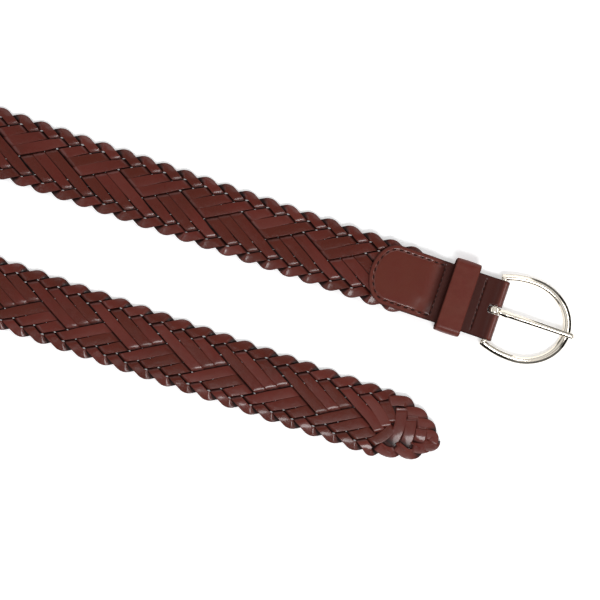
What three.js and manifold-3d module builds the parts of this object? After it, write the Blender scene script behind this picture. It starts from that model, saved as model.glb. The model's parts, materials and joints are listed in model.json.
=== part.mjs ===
// A braided leather belt, unfastened and laid on a table.
// Both ends lie flat with the front face up. Beyond them the belt turns up on its outer edge,
// goes round one half circle and comes back. Millimetres, +Z up, the runs lie along X.
import * as THREE from 'three';
import Module from 'manifold-3d';
import { mergeVertices } from 'three/addons/utils/BufferGeometryUtils.js';

// Whole belt
const RUN_LENGTH = 453.5; // from the bar to where the half circle starts
const RUN_SPACING = 74; // between the middle lines of the two runs
const TIP_LAG = 4.6; // how far the tip stops short of the bar, side by side
const FLAT_RUN = 290; // from the bar, the stretch that lies flat
const GAP = 0.3; // between pieces that touch

// Braid
const BRAID_WIDTH = 35;
const BRAID_THICKNESS = 3.4; // two strips and the slack between them
const BRAID_EDGE_TAPER = 4; // the braid thins towards its edges over this width
const SCALLOP_PITCH = 11.3; // one strip turns at each scallop
const SCALLOP_DEPTH = 1.6;
const STEPS_PER_SCALLOP = 4;
const TIP_TAPER = 26; // the braid narrows over this length
const TIP_END_WIDTH = 4;
const BRAID_RISE_LENGTH = 45; // over which the braid climbs on to the back layer of the strap

// Buckle strap: one leather strip folded round the bar, the braid's end between its layers
const LEATHER = 1.6;
const STRAP_WIDTH = 32;
const TAB_ROUND = 11.5; // length of the half ellipse at each end of the strip
const BRAID_HELD = 32; // length of braid between the two layers
const CUT_TO_STITCH = 4.5; // from the braid's cut end to the cross stitching
const FOLD_THROAT = 7.5; // from the bar to where the two layers meet

// Keeper loop
const KEEPER_BAND = 13.8;
const KEEPER_WALL = 1.5;
const KEEPER_TO_BAR = 13.1;
const KEEPER_PLAY = 4.1; // from the keeper to the cross stitching
const KEEPER_SIDE_ROOM = 2; // beside the strap, each side
const KEEPER_TOP_ROOM = 1.4; // above a braid that is passed through it
const KEEPER_CORNER = 3.2;

// Buckle frame: a D with a round bar across its open side
const BAR_RADIUS = 1.5;
const FRAME_REACH = 41.4; // from the bar's axis to the outside of the front
const FRAME_HEIGHT = 3;
const FRAME_ARM_WIDTH = 3.2; // at the bar
const FRAME_FRONT_WIDTH = 4.3;
const FRAME_BELLY = 2.7; // how much wider each side is at its widest than at the bar
const FRAME_WIDEST_AT = 16; // from the bar's axis
const FRAME_HEEL = 2.4; // the arms run on past the bar's axis by this much
const FRAME_SIDE_ROOM = 0.5; // between the strap's edge and each arm
const FRAME_STEPS = 22; // along each side

// Prong
const PRONG_WIDTH = 3.1;
const PRONG_LOOP_WIDTH = 3.8;
const PRONG_LOOP_WALL = 1.5;
const PRONG_DEPTH = 2.1; // of the shaft, seen from the side
const PRONG_OVERHANG = 1.8; // past the front of the frame
const SLOT_SIDE_ROOM = 0.95;
const SLOT_END_ROOM = 1.1;

const LEATHER_COLOUR = 0x5c2f29;
const METAL_COLOUR = 0xd9d3c8;

// Sizes that follow from the ones above
const bendRadius = RUN_SPACING / 2;
const pathLength = 2 * RUN_LENGTH + Math.PI * bendRadius - TIP_LAG; // bar to tip
const keeperFar = KEEPER_TO_BAR + KEEPER_BAND;
const crossStitch = keeperFar + KEEPER_PLAY;
const braidCut = crossStitch + CUT_TO_STITCH;
const braidStart = braidCut + GAP;
const tabEnd = braidCut + BRAID_HELD;
const foldRadius = BAR_RADIUS + GAP + LEATHER; // outside of the fold
const strapLift = Math.max(KEEPER_WALL + GAP, foldRadius - LEATHER); // off the table, over the keeper
const barHeight = strapLift + LEATHER;
const strapTop = strapLift + 2 * LEATHER;
const braidLift = LEATHER + GAP;
const tabTop = 2 * LEATHER + 2 * GAP + BRAID_THICKNESS;

const leather = new THREE.MeshStandardMaterial({ color: LEATHER_COLOUR, roughness: 0.45 });
const metal = new THREE.MeshStandardMaterial({ color: METAL_COLOUR, roughness: 0.15, metalness: 1 });

const wasm = await Module();
wasm.setup();

function toManifold(geometry) {
  const bare = geometry.clone();
  bare.deleteAttribute('normal');
  bare.deleteAttribute('uv');
  const merged = mergeVertices(bare, 1e-4);
  return new wasm.Manifold(new wasm.Mesh({
    numProp: 3,
    vertProperties: merged.attributes.position.array,
    triVerts: new Uint32Array(merged.index.array),
  }));
}

function fromManifold(solid) {
  const { numProp, numVert, vertProperties, triVerts } = solid.getMesh();
  const positions = new Float32Array(numVert * 3);
  for (let i = 0; i < numVert; i++) {
    positions.set(vertProperties.subarray(i * numProp, i * numProp + 3), i * 3);
  }
  const geometry = new THREE.BufferGeometry();
  geometry.setAttribute('position', new THREE.BufferAttribute(positions, 3));
  geometry.setIndex(new THREE.BufferAttribute(new Uint32Array(triVerts), 1));
  geometry.computeVertexNormals();
  return geometry;
}

function namedMesh(name, geometry, material) {
  const mesh = new THREE.Mesh(geometry, material);
  mesh.name = name;
  return mesh;
}

const ease = (t) => THREE.MathUtils.smoothstep(t, 0, 1);

// A closed body through a row of convex rings, each with the same number of points.
function loft(rings) {
  const count = rings[0].length;
  const last = (rings.length - 1) * count;
  const index = [];
  for (let r = 0; r + 1 < rings.length; r++) {
    for (let i = 0; i < count; i++) {
      const a = r * count + i;
      const b = r * count + ((i + 1) % count);
      index.push(a, b, b + count, a, b + count, a + count);
    }
  }
  for (let i = 1; i + 1 < count; i++) {
    index.push(0, i + 1, i, last, last + i, last + i + 1);
  }
  const geometry = new THREE.BufferGeometry().setFromPoints(rings.flat());
  geometry.setIndex(index);
  geometry.computeVertexNormals();
  return geometry;
}

// A shape drawn in X and Z, given a width along Y about the middle line.
function widen(shape, width, segments) {
  const geometry = new THREE.ExtrudeGeometry(shape, {
    depth: width,
    bevelEnabled: false,
    curveSegments: segments,
  });
  return geometry.rotateX(Math.PI / 2).translate(0, width / 2, 0);
}

// The belt's own axes at s along its middle line, measured from the bar: inward points to the
// inside of the half circle, and the front face looks along normal.
function beltAt(s) {
  const bendTurn = THREE.MathUtils.clamp((s - RUN_LENGTH) / bendRadius, 0, Math.PI);
  const before = Math.min(s, RUN_LENGTH);
  const after = Math.max(s - RUN_LENGTH - Math.PI * bendRadius, 0);
  const x = after - before - bendRadius * Math.sin(bendTurn);
  const y = bendRadius * Math.cos(bendTurn);
  const upright = (Math.PI / 2) * ease((-x - FLAT_RUN) / (RUN_LENGTH - FLAT_RUN));
  const level = new THREE.Vector3(Math.sin(bendTurn), -Math.cos(bendTurn), 0);
  const up = new THREE.Vector3(0, 0, 1);
  const inward = level.clone().multiplyScalar(Math.cos(upright)).addScaledVector(up, Math.sin(upright));
  const normal = up.clone().multiplyScalar(Math.cos(upright)).addScaledVector(level, -Math.sin(upright));
  const climb = braidLift * ease((tabEnd + BRAID_RISE_LENGTH - s) / BRAID_RISE_LENGTH);
  const z = (BRAID_WIDTH * Math.sin(upright) + BRAID_THICKNESS * Math.cos(upright)) / 2 + climb;
  return { centre: new THREE.Vector3(x, y, z), inward, normal };
}

// Half the braid's width, scalloped where each strip turns, and rounded off at the tip.
function braidHalfWidth(s) {
  const toTip = pathLength - s;
  const lobe = Math.abs(Math.cos((Math.PI * (s - braidStart)) / SCALLOP_PITCH));
  const full = BRAID_WIDTH / 2 - SCALLOP_DEPTH * (1 - lobe);
  const taper = Math.sqrt(THREE.MathUtils.clamp(toTip / TIP_TAPER, 0, 1));
  return Math.max(full * taper, TIP_END_WIDTH / 2);
}

function braidRing(s) {
  const { centre, inward, normal } = beltAt(s);
  const edge = braidHalfWidth(s);
  const shoulder = Math.max(edge - BRAID_EDGE_TAPER, edge / 2);
  const half = BRAID_THICKNESS / 2;
  const section = [
    [-edge, 0], [-shoulder, -half], [shoulder, -half],
    [edge, 0], [shoulder, half], [-shoulder, half],
  ];
  return section.map(([across, out]) =>
    centre.clone().addScaledVector(inward, across).addScaledVector(normal, out));
}

function makeBraid() {
  const step = SCALLOP_PITCH / STEPS_PER_SCALLOP;
  const rings = [];
  for (let s = braidStart; s < pathLength - step; s += step) {
    rings.push(braidRing(s));
  }
  rings.push(braidRing(pathLength - step / 2), braidRing(pathLength));
  return namedMesh('braid', loft(rings), leather);
}

// Side view of the folded strap, x measured from the bar.
function strapProfile() {
  const throatRise = 0.45 * FOLD_THROAT;
  const lean = THREE.MathUtils.degToRad(116); // where the leather leaves the round of the fold
  const outX = foldRadius * Math.cos(lean);
  const outZ = foldRadius * Math.sin(lean);
  const boreRadius = BAR_RADIUS + GAP;
  const boreX = boreRadius * Math.cos(lean);
  const boreZ = boreRadius * Math.sin(lean);
  const dipSteps = 5;

  const shape = new THREE.Shape();
  shape.moveTo(-tabEnd, 0);
  for (let i = 0; i <= dipSteps; i++) {
    const t = i / dipSteps;
    shape.lineTo(THREE.MathUtils.lerp(-braidCut, -keeperFar - GAP, t), strapLift * ease(t));
  }
  shape.lineTo(-FOLD_THROAT, strapLift);
  shape.bezierCurveTo(-FOLD_THROAT + throatRise, strapLift, outX + outZ * Math.cos(lean),
    barHeight - outZ + outX * Math.cos(lean), outX, barHeight - outZ);
  shape.absarc(0, barHeight, foldRadius, -lean, lean, false);
  shape.bezierCurveTo(outX + outZ * Math.cos(lean), barHeight + outZ - outX * Math.cos(lean),
    -FOLD_THROAT + throatRise, strapTop, -FOLD_THROAT, strapTop);
  for (let i = 0; i <= dipSteps; i++) {
    const t = i / dipSteps;
    shape.lineTo(THREE.MathUtils.lerp(-crossStitch, -braidCut, t),
      THREE.MathUtils.lerp(strapTop, tabTop, ease(t)));
  }
  shape.lineTo(-tabEnd, tabTop);
  shape.lineTo(-tabEnd, tabTop - LEATHER);
  shape.lineTo(-braidCut, tabTop - LEATHER);
  shape.lineTo(-braidCut, LEATHER);
  shape.lineTo(-tabEnd, LEATHER);
  shape.closePath();

  const bore = new THREE.Path();
  bore.moveTo(-FOLD_THROAT, barHeight);
  bore.lineTo(boreX, barHeight + boreZ);
  bore.absarc(0, barHeight, boreRadius, lean, -lean, true);
  bore.closePath();
  shape.holes.push(bore);
  return shape;
}

// Plan of the strap: straight sides and a half ellipse at the end that holds the braid.
function strapPlan() {
  const half = STRAP_WIDTH / 2;
  const front = 2 * foldRadius;
  const shape = new THREE.Shape();
  shape.moveTo(front, -half);
  shape.lineTo(front, half);
  shape.lineTo(TAB_ROUND - tabEnd, half);
  shape.absellipse(TAB_ROUND - tabEnd, 0, TAB_ROUND, half, Math.PI / 2, 1.5 * Math.PI, false, 0);
  shape.closePath();
  const tall = 2 * tabTop + 2 * barHeight;
  return new THREE.ExtrudeGeometry(shape, { depth: tall, bevelEnabled: false, curveSegments: 24 })
    .translate(0, 0, -tall / 2);
}

function makeStrap() {
  const loopRadius = BAR_RADIUS + GAP + PRONG_LOOP_WALL;
  const slotEnd = loopRadius + SLOT_END_ROOM;
  const slotLength = slotEnd + 2 * foldRadius;
  const slotWidth = PRONG_LOOP_WIDTH + 2 * SLOT_SIDE_ROOM;
  const slot = new THREE.BoxGeometry(slotLength, slotWidth, 4 * barHeight)
    .translate(slotLength / 2 - slotEnd, 0, barHeight);
  const solid = toManifold(widen(strapProfile(), STRAP_WIDTH, 10))
    .intersect(toManifold(strapPlan()))
    .subtract(toManifold(slot));
  const mesh = namedMesh('buckle_strap', fromManifold(solid), leather);
  mesh.position.y = bendRadius;
  return mesh;
}

function roundedBox(path, halfWidth, low, high, corner) {
  path.moveTo(-halfWidth + corner, low);
  path.absarc(halfWidth - corner, low + corner, corner, -Math.PI / 2, 0, false);
  path.absarc(halfWidth - corner, high - corner, corner, 0, Math.PI / 2, false);
  path.absarc(-halfWidth + corner, high - corner, corner, Math.PI / 2, Math.PI, false);
  path.absarc(-halfWidth + corner, low + corner, corner, Math.PI, 1.5 * Math.PI, false);
  return path;
}

function makeKeeper() {
  const insideHalf = STRAP_WIDTH / 2 + KEEPER_SIDE_ROOM;
  const insideTop = strapTop + BRAID_THICKNESS + KEEPER_TOP_ROOM;
  const shape = roundedBox(new THREE.Shape(), insideHalf + KEEPER_WALL, 0,
    insideTop + KEEPER_WALL, KEEPER_CORNER);
  shape.holes.push(roundedBox(new THREE.Path(), insideHalf, KEEPER_WALL, insideTop,
    Math.max(KEEPER_CORNER - KEEPER_WALL, GAP)));
  const geometry = new THREE.ExtrudeGeometry(shape, {
    depth: KEEPER_BAND,
    bevelEnabled: false,
    curveSegments: 5,
  });
  const lengthwise = new THREE.Matrix4().makeBasis(
    new THREE.Vector3(0, 1, 0), new THREE.Vector3(0, 0, 1), new THREE.Vector3(1, 0, 0));
  geometry.applyMatrix4(lengthwise);
  const mesh = namedMesh('keeper', geometry, leather);
  mesh.position.set(-keeperFar, bendRadius, 0);
  return mesh;
}

// Outside of the D at one place: turn runs from 0 at the heel of one arm to 1 at the other.
function frameOutline(turn) {
  const rearHalf = STRAP_WIDTH / 2 + FRAME_SIDE_ROOM + FRAME_ARM_WIDTH;
  const widest = rearHalf + FRAME_BELLY;
  const frontSemi = FRAME_REACH - FRAME_WIDEST_AT;
  const rearSemi = FRAME_WIDEST_AT / Math.sqrt(1 - (rearHalf / widest) ** 2);
  const heelAngle = Math.PI / 2 + Math.asin((FRAME_WIDEST_AT + FRAME_HEEL) / rearSemi);
  const angle = THREE.MathUtils.lerp(heelAngle, -heelAngle, turn);
  const semi = Math.abs(angle) > Math.PI / 2 ? rearSemi : frontSemi;
  const point = new THREE.Vector2(
    FRAME_WIDEST_AT + semi * Math.cos(angle), widest * Math.sin(angle));
  const outward = new THREE.Vector2(
    Math.cos(angle) / semi, Math.sin(angle) / widest).normalize();
  const frontShare = ease(1 - Math.abs(angle) / heelAngle);
  const width = THREE.MathUtils.lerp(FRAME_ARM_WIDTH, FRAME_FRONT_WIDTH, frontShare);
  return { point, outward, width };
}

function makeFrame() {
  // Section of the D: flat below, domed above, as shares of its width and height.
  const section = [[0, -0.5], [0, 0.05], [0.2, 0.38], [0.5, 0.5], [0.8, 0.38], [1, 0.05], [1, -0.5]];
  const rings = [];
  for (let i = 0; i <= 2 * FRAME_STEPS; i++) {
    const { point, outward, width } = frameOutline(i / (2 * FRAME_STEPS));
    rings.push(section.map(([inwards, up]) => new THREE.Vector3(
      point.x - outward.x * inwards * width,
      point.y - outward.y * inwards * width,
      up * FRAME_HEIGHT)));
  }
  const barLength = STRAP_WIDTH + 2 * FRAME_SIDE_ROOM + FRAME_ARM_WIDTH;
  const bar = new THREE.CylinderGeometry(BAR_RADIUS, BAR_RADIUS, barLength, 20);
  const solid = toManifold(loft(rings)).add(toManifold(bar));
  return namedMesh('buckle_frame', fromManifold(solid), metal);
}

// Side view of the prong's shaft: it leaves the loop at the bar's own height and rises over
// the front of the frame.
function shaftProfile() {
  const loopRadius = BAR_RADIUS + GAP + PRONG_LOOP_WALL;
  const tip = FRAME_REACH + PRONG_OVERHANG - PRONG_DEPTH / 2;
  const underFront = FRAME_HEIGHT / 2 + GAP;
  const frontInside = FRAME_REACH - FRAME_FRONT_WIDTH;
  const baseHalf = PRONG_DEPTH / 2;
  const base = BAR_RADIUS + GAP + PRONG_LOOP_WALL / 2;
  const shape = new THREE.Shape();
  shape.moveTo(base, -baseHalf);
  shape.lineTo(loopRadius, -baseHalf);
  shape.quadraticCurveTo(frontInside / 2, underFront, frontInside, underFront);
  shape.lineTo(tip, underFront);
  shape.absarc(tip, underFront + PRONG_DEPTH / 2, PRONG_DEPTH / 2, -Math.PI / 2, Math.PI / 2, false);
  shape.lineTo(frontInside, underFront + PRONG_DEPTH);
  shape.quadraticCurveTo(frontInside / 2, underFront + PRONG_DEPTH, loopRadius, baseHalf);
  shape.lineTo(base, baseHalf);
  shape.closePath();
  return shape;
}

function makeProng() {
  const loopRadius = BAR_RADIUS + GAP + PRONG_LOOP_WALL;
  const ring = new THREE.Shape();
  ring.absarc(0, 0, loopRadius, 0, 2 * Math.PI, false);
  const bore = new THREE.Path();
  bore.absarc(0, 0, BAR_RADIUS + GAP, 0, 2 * Math.PI, true);
  ring.holes.push(bore);
  const solid = toManifold(widen(ring, PRONG_LOOP_WIDTH, 12))
    .add(toManifold(widen(shaftProfile(), PRONG_WIDTH, 8)));
  return namedMesh('prong', fromManifold(solid), metal);
}

// The frame and prong hang on the bar, and lean down until the front rests on the table.
function makeBuckle() {
  const buckle = new THREE.Group();
  buckle.add(makeFrame(), makeProng());
  const foot = Math.hypot(FRAME_REACH, FRAME_HEIGHT / 2);
  buckle.rotation.y = Math.asin(barHeight / foot) - Math.atan2(FRAME_HEIGHT / 2, FRAME_REACH);
  buckle.position.set(0, bendRadius, barHeight);
  return buckle;
}

// The origin is on the table, under the middle of the whole belt.
function centreOnTable(group) {
  group.updateMatrixWorld(true);
  const box = new THREE.Box3().setFromObject(group, true);
  const middle = box.getCenter(new THREE.Vector3());
  group.position.set(-middle.x, -middle.y, -box.min.z);
}

const belt = new THREE.Group();
belt.add(makeBraid(), makeStrap(), makeKeeper(), makeBuckle());
centreOnTable(belt);

export default belt;
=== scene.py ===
"""A braided leather belt laid out on a table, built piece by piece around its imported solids."""

import json
import math

import bpy
import numpy as np
from mathutils import Matrix, Vector


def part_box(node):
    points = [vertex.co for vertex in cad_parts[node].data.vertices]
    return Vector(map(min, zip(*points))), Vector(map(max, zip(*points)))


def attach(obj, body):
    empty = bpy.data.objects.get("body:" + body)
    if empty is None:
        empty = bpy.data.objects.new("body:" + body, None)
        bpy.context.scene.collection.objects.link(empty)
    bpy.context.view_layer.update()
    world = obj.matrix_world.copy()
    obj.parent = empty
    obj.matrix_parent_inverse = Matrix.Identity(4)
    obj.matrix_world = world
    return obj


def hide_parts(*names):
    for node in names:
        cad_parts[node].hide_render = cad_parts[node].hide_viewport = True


bl_info = {
    "name": "Braided Belt",
    "version": (1, 0, 0),
    "blender": (4, 5, 0),
    "location": "3D View > Sidebar > Belt",
    "description": "Builds a braided leather belt with its buckle, keeper and stitching",
    "category": "Add Mesh",
}

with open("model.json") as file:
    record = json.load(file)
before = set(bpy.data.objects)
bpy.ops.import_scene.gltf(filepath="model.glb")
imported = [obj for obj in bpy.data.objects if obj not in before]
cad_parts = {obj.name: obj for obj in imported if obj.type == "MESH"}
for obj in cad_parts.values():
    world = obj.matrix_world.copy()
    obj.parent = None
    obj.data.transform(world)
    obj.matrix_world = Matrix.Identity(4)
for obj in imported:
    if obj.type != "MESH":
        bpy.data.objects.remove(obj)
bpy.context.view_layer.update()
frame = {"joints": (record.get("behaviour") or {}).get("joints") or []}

MM = 0.001
TAU = 2 * math.pi
BAR = Vector(frame["joints"][0]["pos_m"])
STRAP_LOW, STRAP_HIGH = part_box("buckle_strap")
KEEPER_LOW, KEEPER_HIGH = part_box("keeper")
STRAP_HALF = (STRAP_HIGH.y - STRAP_LOW.y) / 2
GAP = 0.3 * MM  # between pieces that touch
ARM_ROOM = 0.5 * MM  # between the strap's edge and each arm of the frame
TABLE_ROOM = 0.02 * MM  # the leather stays this far above the table


# Sizes and colours that a user would change

def length(name, description, default):
    """A size in metres, shown in the scene's own unit."""
    return bpy.props.FloatProperty(
        name=name, description=description, default=default, min=0.0, unit="LENGTH", precision=5)


def number(name, description, default, low=0.0, high=1.0):
    """A plain number between two limits."""
    return bpy.props.FloatProperty(
        name=name, description=description, default=default, min=low, max=high)


def wattage(name, description, default):
    """The power of a light."""
    return bpy.props.FloatProperty(
        name=name, description=description, default=default, min=0.0, unit="POWER")


def colour(name, description, default):
    """A linear colour."""
    return bpy.props.FloatVectorProperty(
        name=name, description=description, default=default, size=3, min=0.0, max=1.0,
        subtype="COLOR")


def angle(name, description, degrees):
    """An angle, shown in degrees."""
    return bpy.props.FloatProperty(
        name=name, description=description, default=math.radians(degrees), subtype="ANGLE")


class BeltLayoutSettings(bpy.types.PropertyGroup):
    """Where the belt runs on the table."""

    run_spacing: length("Run Spacing", "Between the middle lines of the two runs", 0.074)
    run_length: length("Run Length", "From the buckle's bar to where the half circle starts", 0.4535)
    tip_lag: length("Tip Lag", "How far the tip stops short of the bar", 0.0046)
    flat_run: length("Flat Run", "The stretch from the bar that lies flat", 0.29)


class BeltBraidSettings(bpy.types.PropertyGroup):
    """The ten strips and how they pass each other."""

    strip_width: length("Strip Width", "Width of one leather strip", 0.00556)
    strip_thickness: length("Strip Thickness", "Thickness of one leather strip", 0.0015)
    lift: length("Weave Height", "How far a strip rises above or sinks below the middle", 0.00088)
    edge_width: length("Edge Strip Width", "Width of a strip where it turns", 0.0048)
    turn_width: length("Turn Width", "Between the two edges' turning lines", 0.0324)
    turn_radius: length("Turn Radius", "Of a strip's middle line where it turns at an edge", 0.0042)
    turn_bank: angle("Turn Bank", "How far a strip leans outwards where it turns", 19.0)
    pitch: length("Pitch", "Along the belt from one turn to the next", 0.0113)
    gather: number("Gathering", "How far strips crowd into threes, in pitches", 0.03, 0, 0.3)
    tip_taper: length("Tip Taper", "The tip narrows over this length", 0.026)


class BeltStrapSettings(bpy.types.PropertyGroup):
    """The folded strap and its stitching."""

    leather: length("Leather", "Thickness of the strap's leather", 0.0016)
    stitch_inset: length("Stitch Inset", "From the tab's edge to its stitching", 0.0024)
    stitch_pitch: length("Stitch Pitch", "From one stitch to the next", 0.0038)
    thread: length("Thread", "Thickness of the sewing thread", 0.0007)


class BeltBuckleSettings(bpy.types.PropertyGroup):
    """The frame, its bar and the prong."""

    bar_radius: length("Bar Radius", "Radius of the bar", 0.0015)
    reach: length("Reach", "From the bar's middle to the outside of the front", 0.0414)
    height: length("Height", "Thickness of the frame", 0.003)
    arm_width: length("Arm Width", "Width of the frame at the bar", 0.0032)
    front_width: length("Front Width", "Width of the frame at its front", 0.0043)
    belly: length("Belly", "How much wider each side is than at the bar", 0.0027)
    widest_at: length("Widest At", "Where the frame is widest, from the bar", 0.016)
    heel: length("Heel", "How far the arms run past the bar", 0.0024)
    prong_width: length("Prong Width", "Width of the prong's shaft", 0.0031)


class BeltFinishSettings(bpy.types.PropertyGroup):
    """Colours of the leather, thread and metal."""

    strip_brown: colour("Strip Brown", "Leather of the strips", (0.097, 0.0185, 0.0108))
    strip_red: colour("Strip Red", "Redder places on the strips", (0.119, 0.0155, 0.0098))
    strap_brown: colour("Strap Brown", "Leather of the strap", (0.128, 0.0272, 0.0165))
    keeper_brown: colour("Keeper Brown", "Leather of the keeper", (0.126, 0.0305, 0.0185))
    cut_edge: colour("Cut Edge", "Dyed edges of the leather", (0.018, 0.0055, 0.0050))
    thread: colour("Thread", "Sewing thread", (0.016, 0.0060, 0.0050))
    nickel: colour("Nickel", "Polished metal of the buckle", (0.84, 0.77, 0.66))


class BeltStageSettings(bpy.types.PropertyGroup):
    """Floor, lights and camera."""

    elevation: angle("Elevation", "Camera's height above the table", 88.0)
    slope: angle("Slope", "How far the belt slopes down to the right in the picture", 18.75)
    distance: length("Distance", "From the camera to the table", 0.70)
    view_width: length("View Width", "Width of table across the picture", 0.3105)
    key: wattage("Key Light", "Power of the bright light before the belt", 8.1)
    ring: wattage("Ring Light", "Power of each pale panel round the belt", 4.0)
    buckle_box: wattage("Buckle Light", "Power of the soft box over the metal", 4.0)
    surround: number("Surround", "Brightness of the room", 0.13, 0, 10)
    glow: number("Table Glow", "Light that comes up through the white table", 0.36, 0, 10)


def settings():
    """All the belt's settings on the open scene."""
    return bpy.context.scene.belt


class BeltSettings(bpy.types.PropertyGroup):
    """Everything that a user would change about the belt."""

    layout: bpy.props.PointerProperty(type=BeltLayoutSettings)
    braid: bpy.props.PointerProperty(type=BeltBraidSettings)
    strap: bpy.props.PointerProperty(type=BeltStrapSettings)
    buckle: bpy.props.PointerProperty(type=BeltBuckleSettings)
    finish: bpy.props.PointerProperty(type=BeltFinishSettings)
    stage: bpy.props.PointerProperty(type=BeltStageSettings)


# Curves and meshes

def ease(t):
    """A smooth step from 0 to 1."""
    t = np.clip(t, 0.0, 1.0)
    return t * t * (3 - 2 * t)


def mix(a, b, t):
    """From a to b as t goes from 0 to 1."""
    return a + (b - a) * t


def unit(vectors):
    """Rows scaled to length 1."""
    return vectors / np.maximum(np.linalg.norm(vectors, axis=-1, keepdims=True), 1e-12)


def run_along(line):
    """Distance along a line at each of its points."""
    return np.concatenate([[0], np.cumsum(np.linalg.norm(np.diff(line, axis=0), axis=1))])


def points_at(places, run, line):
    """Points of a line at distances along it."""
    return np.stack([np.interp(places, run, line[:, k]) for k in range(line.shape[1])], axis=-1)


def rounded(inset, radius):
    """How far a rounded edge stands back at a distance in from it."""
    into = np.clip((radius - inset) / radius, 0, 1)
    return radius * (1 - np.sqrt(1 - into ** 2))


def both_faces(side, rise):
    """A section's points over its top and back underneath, which mirrors the top."""
    return np.concatenate([side, side[-2:0:-1]]), np.concatenate([rise, -rise[-2:0:-1]])


def grid(x, y, z):
    """Rings of points, from coordinates given for each ring, for each point or for both."""
    return np.stack(np.broadcast_arrays(x, y, z), axis=2)


def smooth_path(points, count):
    """Evenly spaced points on a smooth curve through the given ones."""
    p = np.asarray(points, float)
    p = np.vstack([2 * p[0] - p[1], p, 2 * p[-1] - p[-2]])
    fine = []
    for a, b, c, d in zip(p[:-3], p[1:-2], p[2:-1], p[3:]):
        t = np.linspace(0, 1, 24, endpoint=False)[:, None]
        fine.append(0.5 * (2 * b + (c - a) * t + (2 * a - 5 * b + 4 * c - d) * t ** 2
                           + (3 * b - a - 3 * c + d) * t ** 3))
    fine = np.vstack(fine + [p[-2:-1]])
    run = run_along(fine)
    return points_at(np.linspace(0, run[-1], count), run, fine)


def tube_faces(rings, points, first=0, closed=False):
    """Quads round a row of rings, and a cap at each end of an open one."""
    r = np.arange(rings if closed else rings - 1)[:, None]
    i = np.arange(points)[None, :]
    j = (i + 1) % points
    after = (r + 1) % rings
    quads = np.stack([r * points + i, r * points + j, after * points + j, after * points + i],
                     axis=-1).reshape(-1, 4) + first
    faces = quads.tolist()
    if not closed:
        faces.append((np.arange(points)[::-1] + first).tolist())
        faces.append((np.arange(points) + first + (rings - 1) * points).tolist())
    return faces


def add_piece(name, places, faces, material, uv=None, tone=None, depth=None):
    """A smooth mesh object, with a place along and across the leather, a tone and a depth, which is
    painted shade.
    """
    mesh = bpy.data.meshes.new(name)
    mesh.from_pydata(np.asarray(places, float).tolist(), [], faces)
    mesh.polygons.foreach_set("use_smooth", [True] * len(mesh.polygons))
    if uv is not None:
        corners = np.zeros(len(mesh.loops), np.int32)
        mesh.loops.foreach_get("vertex_index", corners)
        layer = mesh.uv_layers.new(name="Leather")
        layer.data.foreach_set("uv", np.asarray(uv, np.float32)[corners].ravel())
    for label, values in (("tone", tone), ("depth", depth)):
        if values is not None:
            layer = mesh.attributes.new(label, "FLOAT", "POINT")
            layer.data.foreach_set("value", np.asarray(values, np.float32))
    mesh.materials.append(material)
    mesh.validate()
    mesh.update()
    piece = bpy.data.objects.new(name, mesh)
    bpy.context.scene.collection.objects.link(piece)
    return piece


def settle(piece, body, slot, *nodes):
    """Says which body a piece rides on and hides the solids that it stands for; the slot is not
    used.
    """
    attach(piece, body)
    if nodes:
        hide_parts(*nodes)


# Materials: expressions on node sockets

class Signal:
    """An output of a node tree, with arithmetic that adds the nodes it needs."""

    def __init__(self, tree, socket):
        self.tree = tree
        self.socket = socket

    def math(self, operation, *others):
        """This value and others through a Math node."""
        return self.tree.value_math(operation, self, *others)

    def __add__(self, other):
        return self.math("ADD", other)

    def __sub__(self, other):
        return self.math("SUBTRACT", other)

    def __rsub__(self, other):
        return self.tree.value_math("SUBTRACT", other, self)

    def __mul__(self, other):
        return self.math("MULTIPLY", other)

    def __abs__(self):
        return self.math("ABSOLUTE")

    __radd__ = __add__
    __rmul__ = __mul__

    def between(self, low, high):
        """0 below low, 1 above high and smooth between them."""
        return self.tree.add("ShaderNodeMapRange", {"interpolation_type": "SMOOTHSTEP"}, {
            "Value": self, "From Min": low, "From Max": high}).out("Result")

    def at_most(self, limit):
        """The value, held down to a limit."""
        return self.math("MINIMUM", limit)


class Placed:
    """A node that has been added to a tree."""

    def __init__(self, tree, node):
        self.tree = tree
        self.node = node

    def out(self, name):
        """One of the node's outputs."""
        return Signal(self.tree, self.node.outputs[name])


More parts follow.
